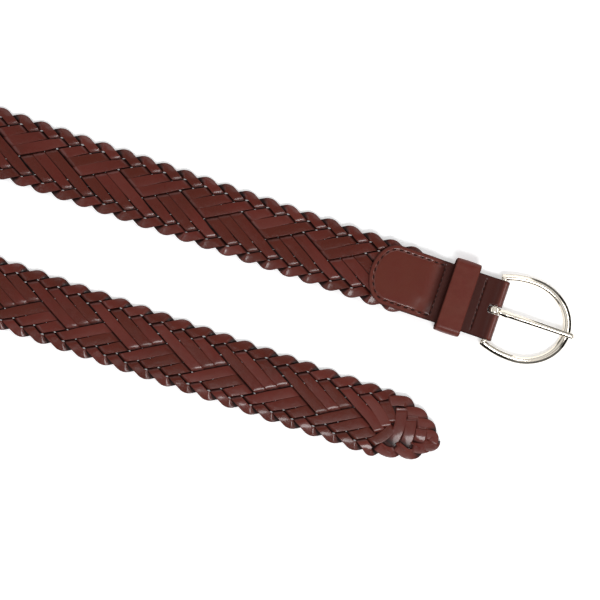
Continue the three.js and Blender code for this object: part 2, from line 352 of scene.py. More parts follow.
class NodeTree:
    """A material's nodes."""

    def __init__(self, name):
        self.material = bpy.data.materials.new(name)
        self.material.use_nodes = True
        self.nodes = self.material.node_tree.nodes
        self.links = self.material.node_tree.links
        self.nodes.clear()

    def add(self, kind, values=None, inputs=None):
        """A node with its own settings first, then the values or links of its sockets."""
        node = self.nodes.new(kind)
        for key, value in (values or {}).items():
            setattr(node, key, value)
        for key, value in (inputs or {}).items():
            if isinstance(value, Signal):
                self.links.new(value.socket, node.inputs[key])
            else:
                node.inputs[key].default_value = value
        return Placed(self, node)

    def value_math(self, operation, *values):
        """Numbers and sockets through a Math node."""
        return self.add("ShaderNodeMath", {"operation": operation}, dict(enumerate(values))).out(0)

    def blend(self, first, second, share):
        """One colour over another."""
        def full(tint):
            return tint if isinstance(tint, Signal) else (*tint, 1.0)
        return self.add("ShaderNodeMix", {"data_type": "RGBA"}, {
            0: share, 6: full(first), 7: full(second)}).out(2)

    def noise(self, where, scale, detail, rough):
        """Soft noise between 0 and 1, its scale in cycles a metre."""
        return self.add("ShaderNodeTexNoise", {}, {
            "Vector": where, "Scale": scale, "Detail": detail, "Roughness": rough}).out(0)

    def cells(self, where, scale):
        """Distance to the edges of small cells."""
        return self.add("ShaderNodeTexVoronoi", {"feature": "DISTANCE_TO_EDGE"}, {
            "Vector": where, "Scale": scale}).out(0)

    def bump(self, height, strength, distance):
        """A normal for a relief of that height in metres."""
        return self.add("ShaderNodeBump", {}, {
            "Height": height, "Strength": strength, "Distance": distance}).out(0)

    def stretched(self, where, scale):
        """Places with each axis scaled by itself."""
        return self.add("ShaderNodeMapping", {}, {"Vector": where, "Scale": scale}).out(0)

    def surface(self, **inputs):
        """The shader and the material's output."""
        names = {key.replace("_", " ").title(): value for key, value in inputs.items()}
        names = {key.replace("Ior", "IOR"): value for key, value in names.items()}
        shader = self.add("ShaderNodeBsdfPrincipled", {}, {
            key: (*value, 1.0) if isinstance(value, tuple) and len(value) == 3 else value
            for key, value in names.items()})
        self.add("ShaderNodeOutputMaterial", {}, {"Surface": shader.out(0)})
        return self.material


def leather_finish(name, brown, grain, gloss, coat):
    """Dyed smooth leather: pores, soft blotches, a glossier crown and dark cut edges, with painted
    shade where the depth attribute is high.
    """
    finish = settings().finish
    red, cut_edge = tuple(finish.strip_red), tuple(finish.cut_edge)
    tree = NodeTree(name)
    place = tree.add("ShaderNodeTexCoord").out("Object")
    flat = tree.add("ShaderNodeUVMap", {"uv_map": "Leather"}).out("UV")
    parts = tree.add("ShaderNodeSeparateXYZ", {}, {0: flat})
    across = abs(parts.out(1))
    tone = tree.add("ShaderNodeAttribute", {"attribute_name": "tone"}).out("Fac")
    # The depth attribute holds painted shade.
    depth = tree.add("ShaderNodeAttribute", {"attribute_name": "depth"}).out("Fac")

    blotch = tree.noise(place, 95.0, 3.0, 0.55)
    cloud = tree.noise(place, 22.0, 2.0, 0.5)
    streak = tree.noise(tree.stretched(flat, (260.0, 1.2, 1.0)), 1.0, 3.0, 0.6)
    pores = tree.cells(place, 1900.0)
    fine = tree.noise(place, 3600.0, 2.0, 0.6)
    creases = tree.noise(place, 420.0, 4.0, 0.62)

    tint = tree.blend(brown, red, (blotch * 0.9 + tone * 0.9 - 0.45).between(0.15, 0.95))
    dark = tuple(0.62 * channel for channel in brown)
    light = tuple(min(1.0, 1.42 * channel + 0.006) for channel in brown)
    tint = tree.blend(tint, dark, (cloud * 0.6 + streak * 0.4).between(0.5, 0.78) * 0.75)
    tint = tree.blend(tint, light, (tone * 0.7 + streak * 0.5).between(0.55, 1.05) * 0.5)
    rim = across.between(0.92, 0.99)
    edge = across.between(0.84, 0.93)
    tint = tree.blend(tint, cut_edge, rim * 0.55)
    # Painted shade: the leather is darkened towards a dark brown where depth says it sinks under its
    # neighbours or, on the strap, turns away from the light.
    tint = tree.blend(tint, tuple(0.35 * channel for channel in cut_edge),
                      depth.between(0.12, 0.75) * 0.95)
    pore_mask = 1.0 - pores.between(0.0, 0.10)
    tint = tree.blend(tint, cut_edge, pore_mask * 0.22)

    relief = pores.between(0.0, 0.16) * 0.55 + fine * 0.25 + creases * 0.35
    rough = (gloss + blotch * 0.08 + pore_mask * 0.08 + edge * 0.35 + (streak - 0.5) * 0.08
             + depth * 0.2 + (tone - 0.5) * 0.10)
    return tree.surface(
        base_color=tint, roughness=rough, specular_ior_level=0.22,
        coat_weight=(1.0 - depth).at_most(1.0) * (1.0 - edge) * (tone + 0.5) * coat,
        coat_roughness=0.14, normal=tree.bump(relief, grain, 0.00012))


def thread_finish(name, tint):
    """Waxed thread, with the turns of its plies."""
    tree = NodeTree(name)
    flat = tree.add("ShaderNodeUVMap", {"uv_map": "Leather"}).out("UV")
    plies = tree.add("ShaderNodeTexWave", {"bands_direction": "DIAGONAL"}, {
        "Vector": flat, "Scale": 3.0, "Distortion": 0.4}).out(1)
    shade = tree.blend(tint, tuple(min(1.0, 2.4 * c) for c in tint), plies)
    return tree.surface(base_color=shade, roughness=0.85 - plies * 0.1,
                        specular_ior_level=0.2, normal=tree.bump(plies, 0.6, 0.0001))


def metal_finish(name, tint):
    """Polished nickel with faint rub marks."""
    tree = NodeTree(name)
    place = tree.add("ShaderNodeTexCoord").out("Object")
    rubbed = tree.noise(tree.stretched(place, (60.0, 900.0, 900.0)), 1.0, 3.0, 0.6)
    haze = tree.noise(place, 130.0, 3.0, 0.5)
    worn = tuple(0.86 * channel for channel in tint)
    shade = tree.blend(tint, worn, (haze * 0.6 + rubbed * 0.4).between(0.45, 0.75) * 0.6)
    return tree.surface(
        base_color=shade, metallic=1.0, roughness=0.07 + haze * 0.05 + rubbed * 0.03,
        normal=tree.bump(rubbed, 0.05, 0.00003))


# The belt's middle line

BRAID_THICKNESS = 3.4 * MM
BRAID_STANDING_WIDTH = 35.6 * MM  # over the scallops, where the braid stands on its edge
BRAID_CLIMB = 1.9 * MM  # on to the back layer of the strap
BRAID_CLIMB_LENGTH = 45 * MM


def path_length():
    """From the bar to the tip, along the belt."""
    layout = settings().layout
    return 2 * layout.run_length + math.pi * layout.run_spacing / 2 - layout.tip_lag


def belt_axes(along):
    """Middle line, inward direction and front direction at distances from the bar."""
    layout = settings().layout
    radius = layout.run_spacing / 2
    turned = np.clip((along - layout.run_length) / radius, 0, math.pi)
    before = np.minimum(along, layout.run_length)
    after = np.maximum(along - layout.run_length - math.pi * radius, 0)
    x = after - before - radius * np.sin(turned)
    y = radius * np.cos(turned)
    upright = math.pi / 2 * ease((-x - layout.flat_run) / (layout.run_length - layout.flat_run))
    zero = np.zeros_like(x)
    level = np.stack([np.sin(turned), -np.cos(turned), zero], axis=1)
    up = np.stack([zero, zero, zero + 1], axis=1)
    cos_up, sin_up = np.cos(upright)[:, None], np.sin(upright)[:, None]
    inward = level * cos_up + up * sin_up
    normal = up * cos_up - level * sin_up
    tab_end = BAR.x - STRAP_LOW.x
    climb = BRAID_CLIMB * ease((tab_end + BRAID_CLIMB_LENGTH - along) / BRAID_CLIMB_LENGTH)
    z = (BRAID_STANDING_WIDTH * np.sin(upright) + BRAID_THICKNESS * np.cos(upright)) / 2 + climb
    centre = np.stack([x + BAR.x, y + BAR.y - radius, z], axis=1)
    return centre, inward, normal


def on_belt(along, outward, height):
    """Points given by distance from the bar, distance to the outer edge's side and height."""
    shape = along.shape
    centre, inward, normal = belt_axes(along.ravel())
    places = centre - inward * outward.reshape(-1, 1) + normal * height.reshape(-1, 1)
    return places.reshape(*shape, 3)


# The weave. A strip runs from the outer edge to the inner one and back. X counts turns from the
# tip, and depth runs from 0 at the outer edge to 10 at the inner one.

STRIPS = 10
DEPTHS = 10
LEG_TURNS = 5  # a strip passes this many turns of an edge on its way across the belt
UPPER_TURN, UPPER_AT = 75, 162.0 * MM  # this turn of the outer edge is this far from the bar
LOWER_TURN, LOWER_AT = 2, 30.7 * MM  # and this one is this far from the tip
LOWER_PITCH = 11.39 * MM
BLEND_FROM, BLEND_OVER = 24, 30  # the two runs' measures meet over these turns
UPPER_SKEW, LOWER_SKEW = -0.2, 0.0  # the inner edge's turns are ahead by this many pitches
STRAP_CUT = 44.5 * MM  # strips end here inside the strap
LEGS = 20  # more than the belt holds, because each strip is cut off at the strap
LEG_POINTS, TURN_POINTS = 84, 11
SLOPE_HALF = 0.26  # a strip climbs or dives over twice this share of a crossing
DIVE_EARLY = 0.06  # and dives this much before the middle
# Where each strip comes out from under the bands of the tip, in crossings from its first turn.
STRIP_STARTS = (3.0, 2.0, -1.0, -5.6, -6.0, -7.0, -8.0, -11.0, -15.0, -16.0)


def goes_over(leaving, arriving):
    """Whether the strip that leaves the outer edge passes over the one that arrives at it."""
    depth = arriving - leaving
    if depth == 1:
        return True
    if depth == DEPTHS - 1:
        return False
    last_of_three = 3 * math.ceil(arriving / 3)
    return leaving < last_of_three - LEG_TURNS


def outer_turn(strip, leg):
    """The outer edge's turn at which a strip's leg begins, or ends if it comes from inside."""
    return strip + LEG_TURNS * (leg + leg % 2)


def leg_signs(leg, first):
    """Over or under at each crossing of one straight leg, with 0 at its two turns."""
    signs = np.zeros(DEPTHS + 1)
    for step in range(1, DEPTHS):
        if leg % 2 == 0:
            signs[step] = 1 if goes_over(first, first + step) else -1
        else:
            signs[step] = -1 if goes_over(first - DEPTHS + step, first) else 1
    return signs


def weave_height(signs, place):
    """Height between -1 and 1 at a place along a leg that has these signs at its crossings.

    A strip comes up just before it turns, stays up round the turn and dives early.
    """
    place = np.clip(place, 0.0, DEPTHS - 1e-6)
    low = np.floor(place).astype(int)
    part = place - low
    here, there = signs[low], signs[low + 1]
    centre = 0.5 - DIVE_EARLY * np.sign(here - there)
    slope = ease((part - centre + SLOPE_HALF) / (2 * SLOPE_HALF))
    crossing = mix(here, there, slope)
    rising = mix(-1.0, 1.0, ease((part - 0.3) / 0.65))
    return np.where(low == 0, 1.0, np.where(low == DEPTHS - 1, rising, crossing))


def crowding(leg, first, depth):
    """Shift along the belt, in pitches, that draws three neighbouring floats together."""
    side = {1: 1.0, 2: 0.0, 0: -1.0}[first % 3]
    if leg % 2 == 0:
        share = ease((depth - 1.5) / 2.5) * ease((9.5 - depth) / 2)
    else:
        share = ease((9 - depth) / 3) * ease((depth - 0.8) / 2)
    return side * settings().braid.gather * share


def wander(seed, crossings, slow=5.5):
    """A gentle irregular wave along a strip, between about -1 and 1."""
    draw = np.random.default_rng(seed)
    total = np.zeros_like(crossings)
    for wave in range(4):
        total += np.sin(crossings / (slow * (0.6 + 0.35 * wave)) + draw.uniform(0, TAU))
    return total / 2.4


def strip_middle(strip):
    """One strip's middle line in the flat weave: X, across, crossings, leg and turn share."""
    braid = settings().braid
    half = braid.turn_width / 2
    leg_reach = LEG_TURNS * braid.pitch
    slope = math.atan2(braid.turn_width, leg_reach)
    drop = braid.turn_radius / math.cos(slope)
    cut = braid.turn_radius * math.tan(slope) / math.hypot(braid.turn_width, leg_reach)
    share = np.linspace(cut, 1 - cut, LEG_POINTS)
    swing = np.linspace(-slope, slope, TURN_POINTS + 2)[1:-1]
    rows = []
    for leg in range(math.floor(STRIP_STARTS[strip] / DEPTHS), LEGS):
        start_x = strip + LEG_TURNS * leg
        side = 1 if leg % 2 else -1
        rows.append(np.stack([
            start_x + LEG_TURNS * share, side * mix(-half, half, share),
            DEPTHS * (leg + share), np.full_like(share, leg)], axis=1))
        rows.append(np.stack([
            start_x + LEG_TURNS + braid.turn_radius * np.sin(swing) / braid.pitch,
            side * (half - drop + braid.turn_radius * np.cos(swing)),
            DEPTHS * (leg + 1 + cut * swing / slope),
            leg + (swing > 0)], axis=1))
    return np.vstack(rows)


def along_from_turns(x):
    """Distance from the bar of a place in the weave."""
    braid = settings().braid
    upper = UPPER_AT + (UPPER_TURN - x) * braid.pitch
    lower = path_length() - LOWER_AT - (x - LOWER_TURN) * LOWER_PITCH
    return mix(lower, upper, ease((x - BLEND_FROM) / BLEND_OVER))


def gather_at_tip(along, across):
    """Crowds the strips together towards the tip and narrows them."""
    to_tip = path_length() - along
    reach, squeeze = 40 * MM, 19 * MM
    inside = np.clip(reach - to_tip, 0, None)
    crowded = np.where(to_tip < reach, reach - squeeze * (1 - np.exp(-inside / squeeze)), to_tip)
    share = np.sqrt(np.clip(crowded / settings().braid.tip_taper, 0.02, 1.0))
    return path_length() - crowded, across * share


def strip_section():
    """Half-width and half-thickness shares round a strip's rounded section."""
    side = np.array([-1.0, -0.993, -0.965, -0.91, -0.87, 0.0, 0.87, 0.91, 0.965, 0.993, 1.0])
    rise = (1 - np.abs(side) ** 26) ** 0.45 + 0.06 * (1 - side ** 2)
    e, z = both_faces(side, rise)
    return e[::-1], z[::-1]


def sideways(plane):
    """The level direction across a line in the flat weave, at each of its points."""
    tangent = unit(np.gradient(plane, axis=0))
    return np.stack([-tangent[:, 1], tangent[:, 0]], axis=1)


def ribbon(along, across, heights, width, thickness, lean=0.0):
    """Rings of a strip, from its middle line and the heights at each point of its section.

    Lean is added to the heights and leaves the depth, the painted shade that darkens the leather
    where it sinks below the middle, as it is.
    """
    e, z = strip_section()
    plane = np.stack([-along, across], axis=1)
    side = sideways(plane)
    offset = e[None, :] * np.broadcast_to(width, along.shape)[:, None] / 2
    s = along[:, None] - side[:, 0:1] * offset
    v = across[:, None] + side[:, 1:2] * offset
    rings = on_belt(s, v, heights + lean + z[None, :] * thickness / 2)
    rings[:, :, 2] = np.maximum(rings[:, :, 2], TABLE_ROOM)
    # Depth is painted shade: 0 where the strip rides high and 1 where it sinks under its neighbours.
    depth = 0.5 - 0.5 * np.clip(heights / settings().braid.lift, -1, 1) * np.sign(z)[None, :]
    return rings, grid(run_along(plane)[:, None], e[None, :], depth)


def woven_strip(strip):
    """Rings of one of the ten strips, from the tip's bands to its cut end in the strap."""
    braid = settings().braid
    line = strip_middle(strip)
    x, across, crossings, leg = line.T
    depth = DEPTHS * (0.5 - across / braid.turn_width)
    x = x + 0.02 * wander(strip, crossings)
    for number in np.unique(leg).astype(int):
        rows = leg == number
        x[rows] += crowding(number, outer_turn(strip, number), depth[rows])
    skew = mix(LOWER_SKEW, UPPER_SKEW, ease((x - BLEND_FROM) / BLEND_OVER))
    along = along_from_turns(x + skew * depth / DEPTHS)
    keep = (crossings >= STRIP_STARTS[strip]) & (along > STRAP_CUT)
    x, across, crossings, leg, along = (a[keep] for a in (x, across, crossings, leg, along))

    e, _ = strip_section()
    nearest_turn = np.round(crossings / DEPTHS)
    from_turn = np.abs(crossings - DEPTHS * nearest_turn)
    width = mix(braid.edge_width, braid.strip_width, ease((from_turn - 1.9) / 1.3))
    width = width + 0.10 * MM * wander(strip + 20, crossings, 1.1)
    offset = e[None, :] * width[:, None] / 2
    side = sideways(np.stack([x * braid.pitch, across], axis=1))
    oblique = ease((from_turn - 0.25) / 0.5)[:, None]
    place = (crossings - DEPTHS * leg)[:, None]
    turned = np.where(leg % 2 == 0, -1.0, 1.0)[:, None]
    reach = side[:, 0:1] / braid.pitch + turned * LEG_TURNS * side[:, 1:2] / braid.turn_width
    place = place + oblique * reach * offset
    height = np.zeros_like(place)
    for number in np.unique(leg).astype(int):
        rows = leg == number
        height[rows] = weave_height(leg_signs(number, outer_turn(strip, number)), place[rows])
    begun = ease((crossings - STRIP_STARTS[strip]) / 0.9)[:, None]
    height = mix(-1.0, height, begun) * braid.lift

    outward = np.where(nearest_turn % 2 == 0, 1.0, -1.0)[:, None]
    past_turn = crossings - DEPTHS * nearest_turn - 0.15
    bank = math.sin(braid.turn_bank) * np.exp(-(past_turn / 0.55) ** 2)[:, None]
    lean = -bank * width[:, None] * (1 + outward * e[None, :]) / 2
    lean += 0.035 * wander(strip + 40, crossings, 2.6)[:, None] * oblique * offset
    along, across = gather_at_tip(along, across)
    return ribbon(along, across, height, width, braid.strip_thickness, lean)


# Bands that close the tip. Each row of points is the middle line of one, as distance from the tip
# and distance towards the other run, in millimetres; rise and fall are the shares of its length
# over which it comes up from below and goes down again.
TIP_BANDS = (
    # name, rise, fall, points
    ("below_0", 0.0, 0.0, ((31.0, 8.6), (25.5, 8.4), (20.0, 7.2))),
    ("below_1", 0.0, 0.0, ((32.0, 4.6), (24.0, 4.4), (14.0, 3.4), (7.0, 2.0))),
    ("below_2", 0.0, 0.0, ((32.0, -0.4), (24.0, -0.4), (14.0, -0.8), (5.0, -0.6))),
    ("below_3", 0.0, 0.0, ((32.0, -5.4), (24.0, -5.4), (14.0, -5.0), (7.0, -3.4))),
    ("below_4", 0.0, 0.0, ((32.0, -9.6), (26.0, -9.6), (20.5, -8.8))),
    ("cross_1", 0.16, 0.16, ((24.2, 12.4), (22.7, 8.2), (21.8, 3.9), (21.5, 0.4), (21.7, -3.0),
                             (22.3, -6.5), (23.4, -10.8))),
    ("cross_2", 0.2, 0.2, ((17.8, 8.9), (16.4, 4.8), (15.8, 1.3), (15.5, -2.1), (15.7, -5.6),
                           (16.4, -8.8))),
    ("cross_3", 0.25, 0.25, ((10.6, 5.6), (9.8, 1.4), (9.6, -1.6), (9.9, -5.0))),
    ("top_1", 0.45, 0.16, ((19.0, 9.6), (19.6, 12.6), (21.8, 14.4), (24.6, 14.2), (28.1, 13.2),
                           (32.0, 11.4))),
    ("top_2", 0.45, 0.16, ((10.9, 5.6), (11.0, 8.7), (12.6, 10.6), (15.1, 11.1), (18.2, 10.5),
                           (21.9, 9.0))),
    ("top_3", 0.45, 0.2, ((4.7, 2.6), (5.2, 4.6), (6.4, 6.3), (8.3, 7.0), (11.2, 6.6), (14.9, 5.4))),
    ("top_4", 0.2, 0.2, ((3.2, -2.6), (2.6, 0.0), (3.3, 1.9), (5.3, 2.4), (8.6, 1.6))),
    ("low_1", 0.45, 0.16, ((18.6, -7.8), (18.9, -10.8), (20.8, -12.5), (23.8, -12.9),
                           (26.8, -12.4), (30.2, -11.0))),
    ("low_2", 0.45, 0.16, ((8.3, -5.6), (8.9, -8.6), (11.2, -10.2), (14.3, -10.5), (17.3, -9.5),
                           (20.9, -8.2))),
    ("low_3", 0.45, 0.18, ((3.6, -0.4), (4.3, -3.6), (6.7, -5.5), (9.5, -6.3), (12.9, -6.7))),
    ("low_4", 0.2, 0.2, ((1.5, 0.9), (1.6, -1.6), (3.4, -3.2), (6.0, -3.2), (8.9, -2.4))),
)
BAND_POINTS = 44
TIP_ROOM = 1.2 * MM  # the bands' middle lines are measured from this far short of the tip


def tip_bands():
    """Rings of every band of the tip: its front ones, and the cross bands again on the back."""
    braid = settings().braid
    run = np.linspace(0, 1, BAND_POINTS)
    points_round = len(strip_section()[0])
    found = []
    for face in (1, -1):
        for name, rise, fall, points in TIP_BANDS:
            cross = name.startswith("cross")
            if face < 0 and not cross:
                continue
            line = smooth_path(np.array(points) * MM, BAND_POINTS)
            height = np.full(BAND_POINTS, -0.1)
            if cross:
                height = ease(run / rise) * (1 - np.clip((run - 0.42) / 0.58, 0, 1) ** 2) * 2 - 1
            elif rise:
                height = ease(run / rise) * ease((1 - run) / fall) * 2 - 1
            heights = np.repeat(height[:, None], points_round, 1) * braid.lift
            along = path_length() - line[:, 0] - TIP_ROOM
            found.append(ribbon(
                along, -line[:, 1] * face, heights * face * (1.35 if cross else 1),
                braid.strip_width * (1.06 if cross else 0.98),
                braid.strip_thickness * (1.0 if rise else 0.5)))
    return found


def joined_tubes(tubes, tones):
    """Places, faces, flat places, tones and depths, the painted shade, of several ribbons as one
    mesh.
    """
    places, faces, flats, shades, first = [], [], [], [], 0
    for (rings, leather), tone in zip(tubes, tones):
        count, points = rings.shape[:2]
        faces += tube_faces(count, points, first)
        places.append(rings.reshape(-1, 3))
        flats.append(leather.reshape(count * points, 3))
        shades.append(np.full(count * points, tone))
        first += count * points
    flat = np.vstack(flats)
    return np.vstack(places), faces, flat[:, :2], np.concatenate(shades), flat[:, 2]


class BELT_OT_braid(bpy.types.Operator):
    """Weaves the ten strips and closes the tip"""

    bl_idname = "belt.braid"
    bl_label = "Braid"

    def execute(self, context):
        leather = leather_finish("strip_leather", tuple(settings().finish.strip_brown),
                                 grain=0.36, gloss=0.24, coat=0.34)
        draw = np.random.default_rng(7)
        tones = draw.permutation(np.linspace(0.1, 0.9, STRIPS))
        for strip in range(STRIPS):
            # The depth that comes back is the strips' painted shade.
            places, faces, flat, tone, depth = joined_tubes([woven_strip(strip)], [tones[strip]])
            tone = tone + 0.28 * wander(strip + 70, flat[:, 0] / (6 * MM), 2.2)
            piece = add_piece(f"strip_{strip + 1:02d}", places, faces, leather, flat, tone, depth)
            settle(piece, "belt", "braid_leather", "braid")
        bands = tip_bands()
        places, faces, flat, tone, depth = joined_tubes(bands, draw.uniform(0.5, 1.1, len(bands)))
        piece = add_piece("tip_bands", places, faces, leather, flat, tone, depth)
        settle(piece, "belt", "braid_leather", "braid")
        return {"FINISHED"}


# The folded strap

CHANNEL = 0.42 * MM  # half the width of the groove that a row of stitches pulls
CROSS_PITCH = 2.9 * MM  # from stitch to stitch in the two rows across the strap
FOLD_HIGHLIGHT_AT, FOLD_HIGHLIGHT_HALF = 1.5 * MM, 0.9 * MM  # the painted highlight on the fold's crest, beyond the bar


class StrapShape:
    """Sizes of the strap, measured from the bar, and its side view."""

    def __init__(self):
        self.leather = settings().strap.leather
        self.half = STRAP_HALF
        self.end = STRAP_LOW.x - BAR.x
        self.round_length = 11.5 * MM
        self.cut = self.end + 32 * MM  # the braid's cut end
        self.cross = self.cut + 4.5 * MM
        self.keeper_end = KEEPER_LOW.x - BAR.x - GAP
        self.second_cross = -8.7 * MM
        self.throat = -7.5 * MM  # where the two layers part for the bar
        self.slot_end = -3.6 * MM
        self.slot_half = 2.2 * MM
        self.slot_corner = 1.2 * MM
        self.lift = 1.8 * MM  # the back layer stands this high between tab and bar
        self.tab_top = STRAP_HIGH.z
        self.fold = STRAP_HIGH.x - BAR.x - self.leather / 2
        self.lean = math.radians(116)  # the fold's arc starts this far round from the front

    def front_middle(self, x):
        """Height of the front layer's middle."""
        low = self.lift + 1.5 * self.leather
        high = self.tab_top - self.leather / 2
        return mix(low, high, ease((self.cross + 0.5 * MM - x) / (9 * MM)) ** 0.8)

    def back_middle(self, x):
        """Height of the back layer's middle."""
        low = self.leather / 2
        high = self.lift + self.leather / 2
        return mix(high, low, ease((self.keeper_end - x) / (self.keeper_end - self.cut)))

    def corner_dip(self, x, y):
        """How far the front layer sinks near the tab's corner that faces the other run."""
        near = np.exp(-((x - self.cross + 4.5 * MM) / (5 * MM)) ** 2)
        return 1.35 * MM * near * ease((-y - 4.5 * MM) / (9 * MM))

    def half_width(self, x):
        """Half of the strap's width, rounded off at the tab's end."""
        into = np.clip((self.end + self.round_length - x) / self.round_length, 0, 1)
        return self.half * np.sqrt(np.clip(1 - into ** 2, 0.0004, 1))

    def inset(self, x, y):
        """Distance from the strap's edge, inwards."""
        a, b = self.round_length, self.half
        dx = np.minimum(x - (self.end + a), 0)
        r = np.sqrt((dx / a) ** 2 + (y / b) ** 2) + 1e-9
        slope = np.sqrt((dx / a ** 2) ** 2 + (y / b ** 2) ** 2) / r + 1e-9
        return np.where(x < self.end + a, (1 - r) / slope, b - np.abs(y))

    def side_line(self):
        """Middle line of the leather in the side view, front layer to back layer, with normals."""
        near_end = self.end + self.round_length * (1 - np.cos(np.linspace(0.02, 1.0, 30)))
        stations = [near_end]
        last = near_end[-1]
        for stop, step in ((self.cross - 1.2 * MM, 0.62), (self.cross + 1.2 * MM, 0.24),
                           (self.second_cross - 1.1 * MM, 0.9), (self.throat, 0.22)):
            count = max(2, round((stop - last) / (step * MM)))
            stations.append(np.linspace(last, stop, count + 1)[1:])
            last = stop
        x = np.concatenate(stations)
        front = np.stack([x, self.front_middle(x)], axis=1)
        back = np.stack([x, self.back_middle(x)], axis=1)[::-1]

        turn = np.linspace(self.lean, -self.lean, 40)
        fold = np.stack([self.fold * np.cos(turn), BAR.z + self.fold * np.sin(turn)], axis=1)
        start, stop = np.array([self.throat, front[-1, 1]]), fold[0]
        aim = np.array([math.sin(self.lean), -math.cos(self.lean)])
        t = np.linspace(0, 1, 16)[1:-1, None]
        a, b = start + [3.2 * MM, 0], stop - aim * 2.0 * MM
        up = ((1 - t) ** 3 * start + 3 * (1 - t) ** 2 * t * a + 3 * (1 - t) * t ** 2 * b
              + t ** 3 * stop)
        down = up[::-1].copy()
        down[:, 1] = 2 * BAR.z - down[:, 1]
        line = np.vstack([front, up, fold, down, back])
        tangent = unit(np.gradient(line, axis=0))
        normal = np.stack([-tangent[:, 1], tangent[:, 0]], axis=1)
        return line, normal


def strap_columns(shape):
    """Places across the strap at its full width, closer together near its edges."""
    near_edge = np.array([12.8, 13.1, 13.35, 13.6, 13.85, 14.1, 14.5, 15.0, 15.35, 15.6, 15.78,
                          15.9, 15.97, 16.0]) * MM
    half = np.concatenate([np.linspace(0, shape.slot_half, 5),
                           np.linspace(shape.slot_half, 12.4 * MM, 14)[1:], near_edge])
    half = half * shape.half / near_edge[-1]
    return np.concatenate([-half[:0:-1], half])


def edge_distance(shape, x, y):
    """Distance in from the strap's edge, which is only rounded at the tab."""
    return np.where(x < shape.throat, shape.inset(x, y), shape.half - np.abs(y))


def strap_relief(shape, x, y, outer):
    """How far the strap's outside stands back: rounded edges, sewn channel and dips at stitches."""
    inset = edge_distance(shape, x, y)
    relief = -rounded(inset, 0.5 * MM)
    if not outer:
        return relief * 0.3
    tab = ease((shape.cross - x) / (2 * MM))
    relief -= 0.45 * MM * tab * (1 - ease(inset / (4.2 * MM)))
    channel = np.exp(-((inset - settings().strap.stitch_inset) / CHANNEL) ** 2) * tab
    beat = 0.5 + 0.5 * np.cos(TAU * stitch_phase(shape, x, y))
    relief -= channel * (0.30 + 0.36 * beat) * MM
    inner = ease((inset - 1.5 * MM) / (1.5 * MM))
    for line in (shape.cross, shape.second_cross):
        across = np.exp(-((x - line) / CHANNEL) ** 2) * inner
        pulled = 0.5 + 0.5 * np.cos(TAU * y / CROSS_PITCH)
        relief -= across * (0.30 + 0.42 * pulled) * MM
    return relief


def sewing_line(shape):
    """The row of stitches round the tab, from one end of the cross stitching to the other."""
    inset = settings().strap.stitch_inset
    a, b = shape.round_length - inset, shape.half - inset
    turn = np.linspace(math.pi / 2, 1.5 * math.pi, 60)
    middle = shape.end + shape.round_length
    arc = np.stack([middle + a * np.cos(turn), b * np.sin(turn)], axis=1)
    return np.vstack([[shape.cross, b], arc, [shape.cross, -b]])


def stitch_phase(shape, x, y):
    """Stitches counted round the tab, whole at the middle of each stitch."""
    line = sewing_line(shape)
    run = run_along(line)
    fine = np.linspace(0, run[-1], 400)
    spots = points_at(fine, run, line)
    flat = np.stack([np.ravel(x), np.ravel(y)], axis=1)
    blocks = np.array_split(flat, math.ceil(len(flat) / 4000))  # few at a time, to save memory
    nearest = np.concatenate([
        ((block[:, None, :] - spots[None, :, :]) ** 2).sum(axis=2).argmin(axis=1)
        for block in blocks])
    return (fine[nearest] / settings().strap.stitch_pitch - 0.5).reshape(np.shape(x))


def round_slot(shape, x, y):
    """Sideways shift of the columns that rounds the blind end of the prong's slot."""
    narrowing = rounded(x - shape.slot_end, shape.slot_corner)
    narrowing = narrowing * ease((x - shape.throat) / (shape.slot_end - shape.throat))
    inner = y / shape.slot_half
    outer = np.sign(y) * (1 - ease((np.abs(y) - shape.slot_half) / (3 * MM)))
    return -narrowing * np.where(np.abs(y) <= shape.slot_half, inner, outer)


def strap_surfaces(shape):
    """Grids of the strap's outside and inside in the belt's frame, and flat places."""
    line, normal = shape.side_line()
    columns = strap_columns(shape)
    y = columns[None, :] * (shape.half_width(line[:, 0]) / shape.half)[:, None]
    y = y + round_slot(shape, line[:, 0:1], columns[None, :])
    x = np.repeat(line[:, 0:1], len(columns), 1)
    surfaces = []
    thickness = shape.leather - 0.02 * MM
    for side in (1, -1):
        reach = side * (thickness / 2 + strap_relief(shape, x, y, side > 0))
        places = grid(BAR.x + line[:, 0:1] + normal[:, 0:1] * reach, BAR.y + y,
                      line[:, 1:2] + normal[:, 1:2] * reach)
        front = (line[:, 1:2] > BAR.z) & (line[:, 0:1] < shape.throat)
        places[:, :, 2] -= np.where(front, shape.corner_dip(x, y), 0)
        surfaces.append(places)
    rim = 1 - np.clip(edge_distance(shape, x, y) / (3 * MM), 0, 1) * 0.3
    flat = np.stack(np.broadcast_arrays(run_along(line)[:, None], rim), axis=2)
    return surfaces, flat, line, columns


